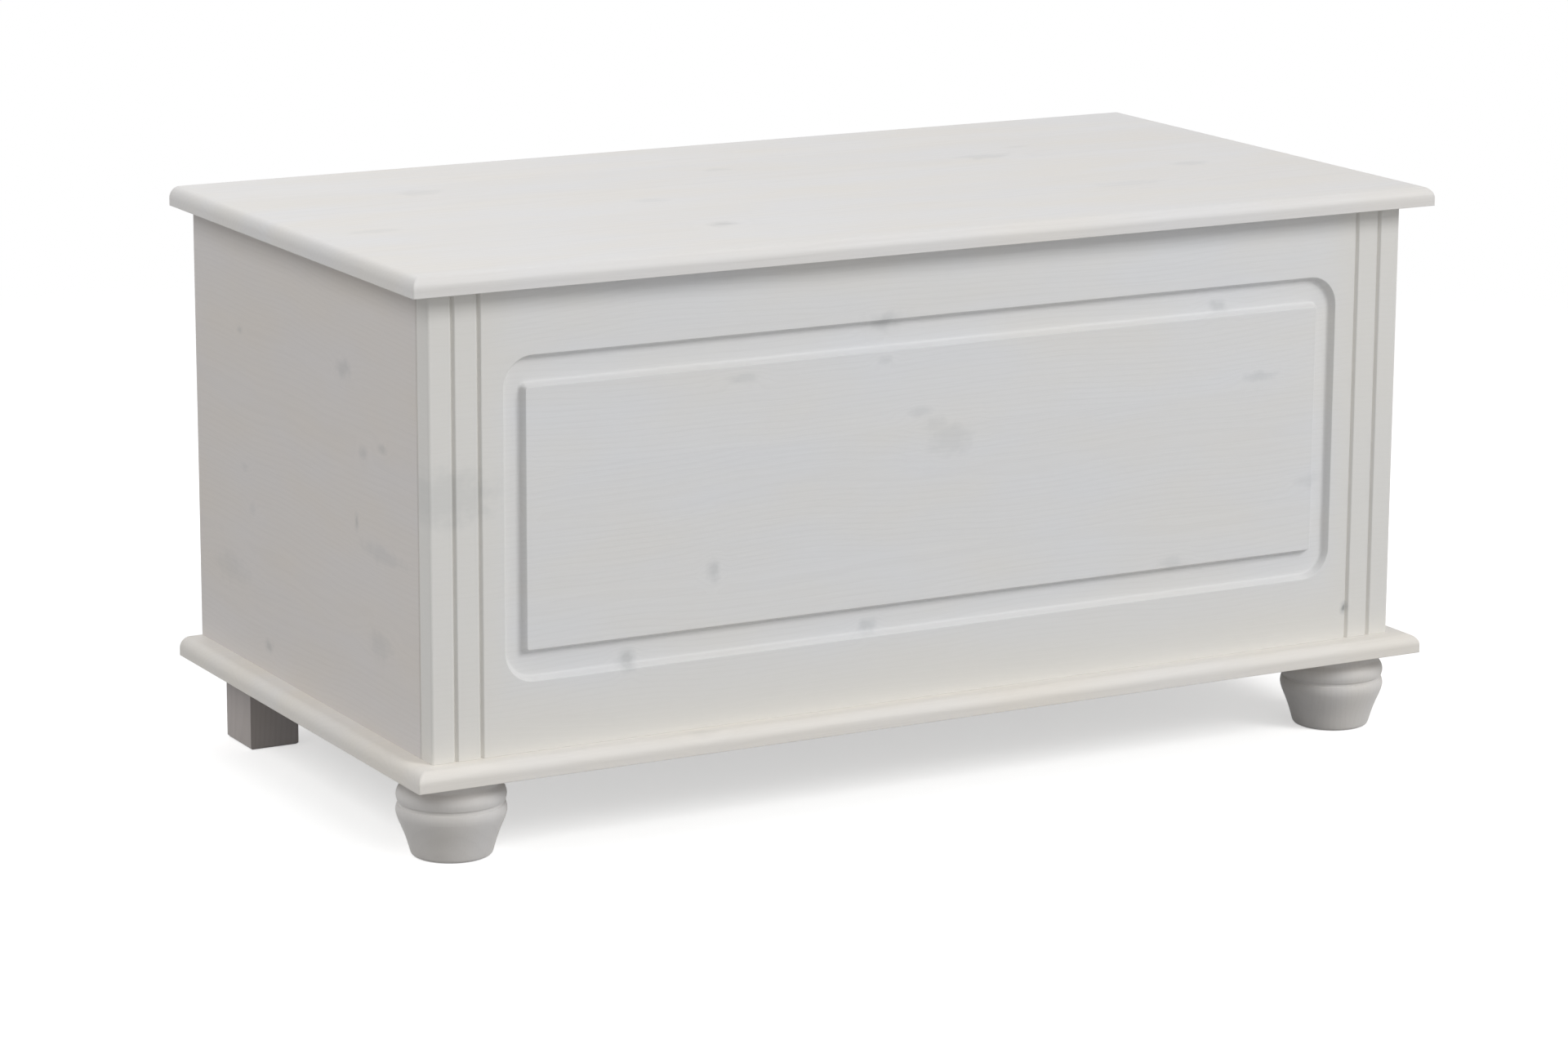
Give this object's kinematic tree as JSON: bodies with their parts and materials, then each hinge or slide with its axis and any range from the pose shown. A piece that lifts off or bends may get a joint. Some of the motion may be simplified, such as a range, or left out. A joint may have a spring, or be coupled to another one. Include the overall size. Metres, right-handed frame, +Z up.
{
  "type": "blanket chest",
  "caption": "Low blanket chest with a hinged moulded lid, a routed raised-field front, turned front feet and block rear feet.",
  "frame": {"origin": "on the floor at the middle of the closed chest's overall box", "axes": "+X to the chest's right as seen from the front, +Y to the back, +Z up; the front faces -Y"},
  "size_m": [0.9, 0.4706, 0.4503],
  "materials": {
    "lid_pine": "whitewashed pine, satin lacquer",
    "base_pine": "whitewashed pine, satin lacquer",
    "front_pine": "whitewashed knotty pine, satin lacquer",
    "side_pine": "whitewashed knotty pine, satin lacquer",
    "back_pine": "whitewashed pine, satin lacquer",
    "inner_pine": "thinly whitewashed pine",
    "foot_pine": "turned pine, whitewashed, satin lacquer",
    "block_pine": "sawn pine block, whitewashed",
    "beech_dowel": "plain fluted beech",
    "zinc_fitting": "die-cast zinc",
    "wood_screw": "zinc-plated steel",
    "small_screw": "zinc-plated steel",
    "hinge_steel": "nickel-plated steel",
    "stay_steel": "zinc-plated steel",
    "stay_rivet": "zinc-plated steel"
  },
  "bodies": {
    "carcass": {"base_board": "base_pine", "front_panel": "front_pine", "side_panel_left": "side_pine", "side_panel_right": "side_pine", "back_panel": "back_pine", "front_foot_left": "foot_pine", "front_foot_right": "foot_pine", "rear_foot_left": "block_pine", "rear_foot_right": "block_pine", "front_corner_dowels": "beech_dowel", "rear_corner_dowels": "beech_dowel", "front_cam_bolts": "zinc_fitting", "rear_cam_bolts": "zinc_fitting", "front_cams": "zinc_fitting", "rear_cams": "zinc_fitting", "base_screws": "wood_screw", "rear_foot_screws": "wood_screw", "foot_hanger_bolts": "wood_screw", "foot_tee_nuts": "zinc_fitting", "hinge_left_body_leaf": "hinge_steel", "hinge_right_body_leaf": "hinge_steel", "hinge_left_pin": "hinge_steel", "hinge_right_pin": "hinge_steel", "hinge_body_screws": "small_screw", "stay_side_bracket": "stay_steel", "stay_side_rivet": "stay_rivet", "stay_side_screws": "small_screw"},
    "lid": {"lid_board": "lid_pine", "lid_batten_left": "inner_pine", "lid_batten_right": "inner_pine", "batten_screws": "wood_screw", "hinge_left_lid_leaf": "hinge_steel", "hinge_right_lid_leaf": "hinge_steel", "hinge_lid_screws": "small_screw", "stay_lid_bracket": "stay_steel", "stay_lid_rivet": "stay_rivet", "stay_lid_screws": "small_screw"},
    "stay_lower": {"stay_lower_arm": "stay_steel", "stay_elbow_rivet": "stay_rivet"},
    "stay_upper": {"stay_upper_arm": "stay_steel"}
  },
  "joints": [
    {"name": "lid_hinge", "type": "hinge", "parent": "carcass", "child": "lid", "pos_m": [0, 0.2322, 0.43515], "axis": [-1, 0, 0], "range_deg": [0, 97]},
    {"name": "stay_lower_pivot", "type": "hinge", "parent": "carcass", "child": "stay_lower", "pos_m": [0.4115, 0.1962, 0.29986], "axis": [-1, 0, 0], "range_deg": [0, 97]},
    {"name": "stay_upper_pivot", "type": "hinge", "parent": "lid", "child": "stay_upper", "pos_m": [0.409, 0.09272, 0.42315], "axis": [-1, 0, 0], "range_deg": [-97, 0]}
  ],
  "couplings": [
    {"joint": "stay_lower_pivot", "follows": "lid_hinge", "ratio": 1},
    {"joint": "stay_upper_pivot", "follows": "lid_hinge", "ratio": -1}
  ]
}
